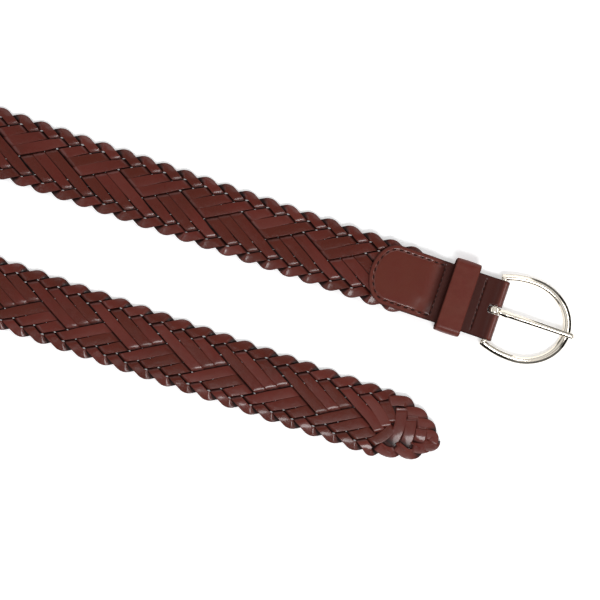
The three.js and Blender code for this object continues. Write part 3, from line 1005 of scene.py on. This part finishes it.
def make_strap(material):
    """The strap's mesh, with the prong's slot through the fold."""
    shape = StrapShape()
    (outside, inside), flat, line, columns = strap_surfaces(shape)
    rows, count = outside.shape[:2]
    places = np.vstack([outside.reshape(-1, 3), inside.reshape(-1, 3)])
    below = rows * count
    in_slot_row = (line[1:, 0] + line[:-1, 0]) / 2 > shape.slot_end
    inner = np.abs((columns[1:] + columns[:-1]) / 2) < shape.slot_half
    first_in, last_in = np.flatnonzero(inner)[0], np.flatnonzero(inner)[-1] + 1
    first, last = np.flatnonzero(in_slot_row)[0], np.flatnonzero(in_slot_row)[-1] + 1
    faces = []

    def at(r, c, level=0):
        """Number of the place in a row and column, outside or, at level 1, inside."""
        return int(r * count + c + level * below)

    for r in range(rows - 1):
        for c in range(count - 1):
            if in_slot_row[r] and inner[c]:
                continue
            faces.append([at(r, c), at(r, c + 1), at(r + 1, c + 1), at(r + 1, c)])
            faces.append([at(r, c, 1), at(r + 1, c, 1), at(r + 1, c + 1, 1), at(r, c + 1, 1)])
        faces.append([at(r, 0), at(r + 1, 0), at(r + 1, 0, 1), at(r, 0, 1)])
        faces.append([at(r, count - 1), at(r, count - 1, 1), at(r + 1, count - 1, 1),
                      at(r + 1, count - 1)])
        if in_slot_row[r]:
            faces.append([at(r, first_in), at(r, first_in, 1), at(r + 1, first_in, 1),
                          at(r + 1, first_in)])
            faces.append([at(r, last_in), at(r + 1, last_in), at(r + 1, last_in, 1),
                          at(r, last_in, 1)])
    for c in range(count - 1):
        faces.append([at(0, c), at(0, c, 1), at(0, c + 1, 1), at(0, c + 1)])
        faces.append([at(rows - 1, c), at(rows - 1, c + 1), at(rows - 1, c + 1, 1),
                      at(rows - 1, c, 1)])
        if inner[c]:
            faces.append([at(first, c), at(first, c + 1), at(first, c + 1, 1), at(first, c, 1)])
            faces.append([at(last, c), at(last, c, 1), at(last, c + 1, 1), at(last, c + 1)])
    flats = np.vstack([flat.reshape(-1, 2), flat.reshape(-1, 2)])
    from_bar = places[:, 0] - BAR.x
    # Painted shade darkens the strap from 7 mm before its cross row on to the bar. The rubbed band
    # is a painted highlight that lifts this shade off the fold's lit crest.
    rubbed = np.exp(-((from_bar - FOLD_HIGHLIGHT_AT) / FOLD_HIGHLIGHT_HALF) ** 2)
    painted_shade = ease((from_bar - shape.cross + 7 * MM) / (7 * MM))
    return add_piece("folded_strap", places, faces, material, flats,
                     np.full(len(places), 0.45), (0.48 - 0.62 * rubbed) * painted_shade)


STITCH_RINGS, STITCH_SIDES = 9, 8


def stitch(middle, direction, normal, size, thread):
    """Rings of one stitch: a short thread that goes down into the leather at both ends."""
    rings = []
    side = np.cross(normal, direction)
    for t in np.linspace(-1, 1, STITCH_RINGS):
        swell = math.sqrt(max(0.05, 1 - abs(t) ** 4))
        centre = middle + direction * t * size / 2 + normal * thread * (0.30 - 0.75 * t ** 4)
        rings.append([centre + (side * math.cos(a) + normal * math.sin(a)) * thread / 2 * swell
                      for a in np.linspace(0, TAU, STITCH_SIDES, endpoint=False)])
    return np.array(rings), grid(np.linspace(0, 1, STITCH_RINGS)[:, None],
                                 np.linspace(0, 1, STITCH_SIDES)[None, :], 0.0)


def stitch_row(shape, line, pitch, slant, size):
    """Stitches along a row on the strap's front and back."""
    run = run_along(line)
    count = max(1, round(run[-1] / pitch))
    near = 0.2 * MM
    found = []
    for spot in (np.arange(count) + 0.5) * run[-1] / count:
        x, y = points_at(spot, run, line)
        ahead = points_at(spot + near, run, line) - points_at(spot - near, run, line)
        direction = math.atan2(ahead[1], ahead[0])
        relief = strap_relief(shape, np.array([[x]]), np.array([[y]]), True)[0, 0]
        for face in (1, -1):
            heading = np.array([math.cos(direction + slant * face),
                                math.sin(direction + slant * face), 0])
            layer = (shape.front_middle(x) - shape.corner_dip(x, y) if face > 0
                     else shape.back_middle(x))
            z = layer + face * (shape.leather / 2 + relief + 0.02 * MM)
            found.append(stitch(np.array([BAR.x + x, BAR.y + y, z]), heading,
                                np.array([0, 0, float(face)]), size, settings().strap.thread))
    return found


def make_stitching(material):
    """All the stitches of the tab and of the two rows across the strap."""
    shape = StrapShape()
    sewing = settings().strap
    rows = stitch_row(shape, sewing_line(shape), sewing.stitch_pitch, math.radians(14), 2.5 * MM)
    reach = shape.half - sewing.stitch_inset
    for x in (shape.cross, shape.second_cross):
        line = np.array([[x, reach - 0.6 * MM], [x, 0.6 * MM - reach]])
        rows += stitch_row(shape, line, CROSS_PITCH, math.radians(32), 2.3 * MM)
    places, faces, flat, tone, _ = joined_tubes(rows, [0.5] * len(rows))
    return add_piece("tab_stitching", places, faces, material, flat, tone)


class BELT_OT_strap(bpy.types.Operator):
    """Folds the strap round the bar and sews it"""

    bl_idname = "belt.strap"
    bl_label = "Strap"

    def execute(self, context):
        finish = settings().finish
        leather = leather_finish("strap_leather", tuple(finish.strap_brown),
                                 grain=0.26, gloss=0.27, coat=0.45)
        settle(make_strap(leather), "belt", "strap_leather", "buckle_strap")
        thread = thread_finish("thread", tuple(finish.thread))
        settle(make_stitching(thread), "belt", "strap_leather", "buckle_strap")
        return {"FINISHED"}


# The keeper

def make_keeper(material):
    """A band of leather bent round the strap, its edges rounded and its top a little full."""
    wall = 1.5 * MM
    corner = 3.2 * MM - wall / 2  # radius of the loop's middle line at its corners
    half = (KEEPER_HIGH.y - KEEPER_LOW.y) / 2 - wall / 2
    low, high = wall / 2, KEEPER_HIGH.z - wall / 2
    middle_y = (KEEPER_HIGH.y + KEEPER_LOW.y) / 2
    loop, normals = [], []
    for cy, cz, start in ((half - corner, high - corner, 0), (-half + corner, high - corner, 90),
                          (-half + corner, low + corner, 180), (half - corner, low + corner, 270)):
        for degrees in np.linspace(start, start + 90, 13):
            a = math.radians(degrees)
            loop.append((cy + corner * math.cos(a), cz + corner * math.sin(a)))
            normals.append((math.cos(a), math.sin(a)))
    closed = np.array(loop + loop[:1])
    run = run_along(closed)
    even = np.unique(np.concatenate([np.linspace(0, run[-1], 120, endpoint=False), run[:-1]]))
    line = points_at(even, run, closed)
    out = unit(points_at(even, run, np.array(normals + normals[:1])))

    width = KEEPER_HIGH.x - KEEPER_LOW.x - 0.7 * MM
    side = np.array([-1, -0.992, -0.97, -0.93, -0.85, -0.6, -0.3, 0, 0.3, 0.6, 0.85, 0.93, 0.97,
                     0.992, 1.0])
    e, z = both_faces(side, wall / 2 - rounded((1 - np.abs(side)) * width / 2, 0.62 * MM))
    z = z + 0.22 * MM * (1 - e ** 2) - 0.10 * MM
    top = ease((line[:, 1] - (low + high) / 2) / (high - low))
    sag = -0.35 * MM * top * (1 - np.abs(line[:, 0] / half) ** 2)
    height = line[:, 1:2] + out[:, 1:2] * z[None, :] + sag[:, None]
    rings = grid(KEEPER_LOW.x + (1 + e[None, :]) * width / 2,
                 middle_y + line[:, 0:1] + out[:, 0:1] * z[None, :],
                 np.maximum(height, TABLE_ROOM))
    flat = np.stack(np.broadcast_arrays(even[:, None], e[None, :]), axis=2)
    faces = tube_faces(len(line), len(e), closed=True)
    return add_piece("keeper_loop", rings.reshape(-1, 3), faces, material, flat.reshape(-1, 2),
                     np.full(len(line) * len(e), 0.7))


class BELT_OT_keeper(bpy.types.Operator):
    """Bends the keeper round the strap"""

    bl_idname = "belt.keeper"
    bl_label = "Keeper"

    def execute(self, context):
        leather = leather_finish("keeper_leather", tuple(settings().finish.keeper_brown),
                                 grain=0.30, gloss=0.40, coat=0.08)
        settle(make_keeper(leather), "belt", "strap_leather", "keeper")
        return {"FINISHED"}


# The buckle

def lean_with_frame(places):
    """Turns places about the bar, so that the frame's front rests on the table."""
    buckle = settings().buckle
    foot = math.hypot(buckle.reach, buckle.height / 2)
    turn = math.asin(BAR.z / foot) - math.atan2(buckle.height / 2, buckle.reach)
    spin = np.array(Matrix.Rotation(turn, 3, "Y"))
    return np.asarray(places) @ spin.T + np.array(BAR)


def frame_outline(share):
    """Outer line of the D and its outward direction, from the heel of one arm to the other's."""
    buckle = settings().buckle
    rear = STRAP_HALF + ARM_ROOM + buckle.arm_width
    widest = rear + buckle.belly
    front_semi = buckle.reach - buckle.widest_at
    rear_semi = buckle.widest_at / math.sqrt(1 - (rear / widest) ** 2)
    heel = math.pi / 2 + math.asin((buckle.widest_at + buckle.heel) / rear_semi)
    turn = mix(heel, -heel, share)
    semi = np.where(np.abs(turn) > math.pi / 2, rear_semi, front_semi)
    point = np.stack([buckle.widest_at + semi * np.cos(turn), widest * np.sin(turn)], axis=1)
    outward = unit(np.stack([np.cos(turn) / semi, np.sin(turn) / widest], axis=1))
    width = mix(buckle.arm_width, buckle.front_width, ease(1 - np.abs(turn) / heel))
    return point, outward, width


# Section of the frame, outside to inside over the top: shares of its width and height.
FRAME_SECTION = (
    (0.10, -0.50), (0.02, -0.42), (0.00, -0.25), (0.00, 0.03), (0.02, 0.085), (0.05, 0.113),
    (0.20, 0.25), (0.28, 0.315), (0.36, 0.375), (0.44, 0.425), (0.52, 0.455), (0.60, 0.468),
    (0.68, 0.462), (0.76, 0.435), (0.84, 0.38), (0.94, 0.288), (0.97, 0.26), (1.00, 0.18),
    (1.00, -0.28), (0.98, -0.42), (0.90, -0.50),
)


def make_frame(material):
    """The D with a crest near its outside, rounded heels and the bar between its arms."""
    buckle = settings().buckle
    steps = 180
    point, outward, width = frame_outline(np.linspace(0, 1, steps))
    section = np.array(FRAME_SECTION)
    run = run_along(point)
    to_end = np.minimum(run, run[-1] - run)
    heel = 0.9 * MM
    swell = np.sqrt(np.clip(1 - (1 - np.clip(to_end / heel, 0, 1)) ** 2, 0.12, 1))[:, None]
    inwards = 0.5 + (section[None, :, 0] - 0.5) * swell
    up = section[None, :, 1] * swell * buckle.height
    back = inwards * width[:, None]
    rings = grid(point[:, 0:1] - outward[:, 0:1] * back, point[:, 1:2] - outward[:, 1:2] * back, up)
    faces = tube_faces(steps, len(section))
    places = rings.reshape(-1, 3)

    bar_half = STRAP_HALF + ARM_ROOM + buckle.arm_width / 2
    stations = np.linspace(-bar_half, bar_half, 24)[:, None]
    turn = np.linspace(0, TAU, 28, endpoint=False)[None, :]
    bar = grid(buckle.bar_radius * np.cos(turn), stations, -buckle.bar_radius * np.sin(turn))
    faces += tube_faces(stations.size, turn.size, len(places))
    places = lean_with_frame(np.vstack([places, bar.reshape(-1, 3)]))
    return add_piece("d_frame", places, faces, material)


# Section of the prong's shaft: shares of half its width and height, over the top to one side.
PRONG_SIDE = ((0.0, 1.0), (0.18, 0.985), (0.32, 0.945), (0.40, 0.90), (0.44, 0.856), (0.93, 0.30),
              (0.97, 0.25), (0.99, 0.15), (1.0, 0.0), (1.0, -0.5), (0.9, -0.86), (0.6, -1.0),
              (0.0, -1.0))
PRONG_SECTION = PRONG_SIDE + tuple((-y, z) for y, z in PRONG_SIDE[-2:0:-1])


def make_prong(material):
    """The prong's loop with its closing crease, its shoulder and its shaft over the front."""
    buckle = settings().buckle
    wall, inner = 1.5 * MM, buckle.bar_radius + GAP
    loop_half = 1.75 * MM
    turn = np.linspace(0, TAU, 64, endpoint=False)
    side = np.linspace(0, TAU, 20, endpoint=False)
    across = np.sign(np.cos(side)) * np.abs(np.cos(side)) ** 0.7 * loop_half
    out = np.sign(np.sin(side)) * np.abs(np.sin(side)) ** 0.9 * wall / 2 + wall / 2 + inner
    cos_turn, sin_turn = np.cos(turn)[:, None], np.sin(turn)[:, None]
    crease = np.exp(-((across[None, :] - 0.9 * MM * cos_turn) / (0.28 * MM)) ** 2)
    facing = ease((out[None, :] - inner - wall * 0.6) / (wall * 0.3))
    radius = out[None, :] - 0.45 * MM * crease * facing * ease(cos_turn + 1.1)
    loop = grid(radius * cos_turn, across[None, :], radius * sin_turn)
    faces = tube_faces(len(turn), len(side), closed=True)

    depth = 2.1 * MM
    rest = buckle.height / 2 + GAP + depth / 2  # height of the shaft's middle on the frame
    end = buckle.reach + 1.8 * MM
    line = smooth_path(np.array([
        (2.4 * MM, 0.0), (4.6 * MM, 0.15 * MM), (9 * MM, 0.9 * MM), (17 * MM, 2.0 * MM),
        (27 * MM, 2.65 * MM), (buckle.reach - buckle.front_width, rest), (end, rest)]), 90)
    from_end = np.clip((end - line[:, 0]) / (1.1 * MM), 0.0, 1)
    tip = np.sqrt(np.clip(1 - (1 - from_end) ** 2, 0.02, 1))
    shoulder = 1 + 0.16 * np.exp(-((line[:, 0] - 6.0 * MM) / (1.3 * MM)) ** 2)
    narrowing = mix(1.0, 0.88, ease((line[:, 0] - 8 * MM) / (30 * MM)))
    tangent = unit(np.gradient(line, axis=0))
    around_y, around_z = np.array(PRONG_SECTION).T
    half_y = buckle.prong_width / 2 * tip * shoulder * narrowing
    rise = around_z[None, :] * (depth / 2 * tip * np.minimum(shoulder, 1.1))[:, None]
    shaft = grid(line[:, 0:1] - tangent[:, 1:2] * rise, around_y[None, :] * half_y[:, None],
                 line[:, 1:2] + tangent[:, 0:1] * rise)
    faces += tube_faces(len(line), len(around_y), len(turn) * len(side))
    places = lean_with_frame(np.vstack([loop.reshape(-1, 3), shaft.reshape(-1, 3)]))
    return add_piece("buckle_prong", places, faces, material)


class BELT_OT_buckle(bpy.types.Operator):
    """Forms the frame and the prong"""

    bl_idname = "belt.buckle"
    bl_label = "Buckle"

    def execute(self, context):
        metal = metal_finish("nickel", tuple(settings().finish.nickel))
        settle(make_frame(metal), "frame", "buckle_metal", "buckle_frame")
        settle(make_prong(metal), "prong", "buckle_metal", "prong")
        return {"FINISHED"}


# The stage

PICTURE_MIDDLE = Vector((-0.0968, -0.0273, 0.003))  # on the table, counted from the bar's foot
UP = Vector((0, 0, 1))
FLOOR_HALF, FLOOR_TOP = 12.0, -0.1 * MM
SENSOR = 36.0  # the camera's, in millimetres like its lens
LAMPS = (
    # name, metres right of the picture's middle, towards the viewer and up, width and height, the
    # setting that gives its power and its share of that; a buckle light reaches only the metal
    ("key", 0.12, 0.60, 1.00, (0.50, 0.34), "key", 1.0),
    ("far", 0.0, -1.25, 0.62, (1.7, 1.0), "ring", 1.7),
    ("left", -1.05, 0.0, 0.85, (1.7, 0.6), "ring", 1.0),
    ("right", 1.3, 0.0, 0.78, (0.9, 0.5), "ring", 1.5),
    ("buckle_box", 0.1, 0.0, 1.2, (1.6, 1.2), "buckle_box", 1.0),
    ("buckle_far_side", 0.9774, -0.8572, 0.95, (1.5, 0.7), "buckle_box", 0.65),
    ("buckle_near_side", 0.6744, 1.1114, 0.95, (1.5, 0.7), "buckle_box", 0.65),
)
DARK_CARDS = (
    # name, degrees round from the picture's right, metres from its middle, width and height
    ("front_card", -131.75, 1.6, 2.4, 0.78),
    ("right_card", 0.0, 1.7, 2.0, 0.66),
)


def level_heading(turn):
    """A level direction, turned from the way the belt runs."""
    return Vector((math.cos(turn), math.sin(turn), 0))


def add_lamp(name, place, aim, size, power):
    """A pale panel that the camera doesn't see."""
    lamp = bpy.data.lights.new(name, "AREA")
    lamp.shape = "RECTANGLE"
    lamp.size, lamp.size_y = size
    lamp.energy = power
    holder = bpy.data.objects.new(name, lamp)
    bpy.context.scene.collection.objects.link(holder)
    holder.location = place
    holder.rotation_euler = (aim - place).to_track_quat("-Z", "Y").to_euler()
    holder.visible_camera = False
    return holder


def add_dark_card(name, foot, heading, width, height):
    """A black card on the floor, for the dark lines in the polished metal."""
    cloth = NodeTree(name).surface(base_color=(0.004, 0.004, 0.004), roughness=1.0,
                                   specular_ior_level=0.0)
    along = Vector((-heading.y, heading.x, 0)) * width / 2
    low, high = foot + UP * 0.02, foot + UP * height
    card = add_piece(name, [low - along, low + along, high + along, high - along],
                     [[0, 1, 2, 3]], cloth)
    card.visible_camera = False


def lay_floor(glow):
    """White paper that glows a little."""
    tree = NodeTree("paper")
    grain = tree.noise(tree.add("ShaderNodeTexCoord").out("Object"), 900.0, 3.0, 0.6)
    paper = tree.surface(base_color=(0.93, 0.93, 0.93), roughness=0.9,
                         emission_color=(1.0, 1.0, 1.0), emission_strength=glow,
                         normal=tree.bump(grain, 0.02, 0.0001))
    corners = [(x * FLOOR_HALF, y * FLOOR_HALF, FLOOR_TOP)
               for x, y in ((-1, -1), (1, -1), (1, 1), (-1, 1))]
    floor = add_piece("floor", corners, [[0, 1, 2, 3]], paper)


def place_camera(stage, target, right, down):
    """The camera, looking down on the picture's middle."""
    back = UP * math.sin(stage.elevation) + down * math.cos(stage.elevation)
    lens = bpy.data.cameras.new("camera")
    lens.sensor_width = SENSOR
    lens.lens = SENSOR * stage.distance / stage.view_width
    lens.clip_start, lens.clip_end = 0.01, 20
    camera = bpy.data.objects.new("camera", lens)
    bpy.context.scene.collection.objects.link(camera)
    turn = Matrix((right, back.cross(right), back)).transposed()
    camera.matrix_world = Matrix.Translation(target + back * stage.distance) @ turn.to_4x4()
    bpy.context.scene.camera = camera


class BELT_OT_stage(bpy.types.Operator):
    """Lays the floor, hangs the lights and places the camera"""

    bl_idname = "belt.stage"
    bl_label = "Stage"

    def execute(self, context):
        stage = settings().stage
        scene = context.scene
        lay_floor(stage.glow)
        right, down = level_heading(stage.slope), level_heading(stage.slope - math.pi / 2)
        target = Vector((BAR.x, BAR.y, 0)) + PICTURE_MIDDLE
        place_camera(stage, target, right, down)

        metal = bpy.data.collections.new("metal")
        for name in ("d_frame", "buckle_prong"):
            metal.objects.link(bpy.data.objects[name])
        for name, across, near, height, size, power, share in LAMPS:
            place = target + right * across + down * near + UP * height
            lamp = add_lamp(name, place, target, size, share * getattr(stage, power))
            if power == "buckle_box":
                lamp.light_linking.receiver_collection = metal
        for name, degrees, away, width, height in DARK_CARDS:
            heading = level_heading(stage.slope + math.radians(degrees))
            add_dark_card(name, target + heading * away, heading, width, height)

        world = bpy.data.worlds.new("room")
        scene.world = world
        world.use_nodes = True
        background = world.node_tree.nodes["Background"]
        background.inputs["Color"].default_value = (0.95, 0.97, 1.0, 1.0)
        background.inputs["Strength"].default_value = stage.surround
        scene.view_settings.view_transform = "Standard"
        return {"FINISHED"}


class BELT_PT_panel(bpy.types.Panel):
    """The belt's pieces, in the order they are made"""

    bl_idname = "BELT_PT_panel"
    bl_label = "Braided Belt"
    bl_space_type = "VIEW_3D"
    bl_region_type = "UI"
    bl_category = "Belt"

    def draw(self, context):
        """A button for each piece, and every setting."""
        for maker in OPERATORS:
            self.layout.operator(maker.bl_idname)
        for group in ("layout", "braid", "strap", "buckle", "finish", "stage"):
            box = self.layout.box()
            box.label(text=group.title())
            values = getattr(context.scene.belt, group)
            for name in values.bl_rna.properties.keys():
                if name not in ("rna_type", "name"):
                    box.prop(values, name)


OPERATORS = (BELT_OT_braid, BELT_OT_strap, BELT_OT_keeper, BELT_OT_buckle, BELT_OT_stage)
CLASSES = (
    BeltLayoutSettings, BeltBraidSettings, BeltStrapSettings, BeltBuckleSettings,
    BeltFinishSettings, BeltStageSettings, BeltSettings, *OPERATORS, BELT_PT_panel,
)


def register():
    """Makes the settings, the operators and the panel known to Blender."""
    for cls in CLASSES:
        bpy.utils.register_class(cls)
    bpy.types.Scene.belt = bpy.props.PointerProperty(type=BeltSettings)


def unregister():
    """Takes them out again."""
    del bpy.types.Scene.belt
    for cls in reversed(CLASSES):
        bpy.utils.unregister_class(cls)


def main():
    """Builds the whole belt."""
    register()
    bpy.ops.belt.braid()
    bpy.ops.belt.strap()
    bpy.ops.belt.keeper()
    bpy.ops.belt.buckle()
    bpy.ops.belt.stage()


if __name__ == "__main__":
    main()
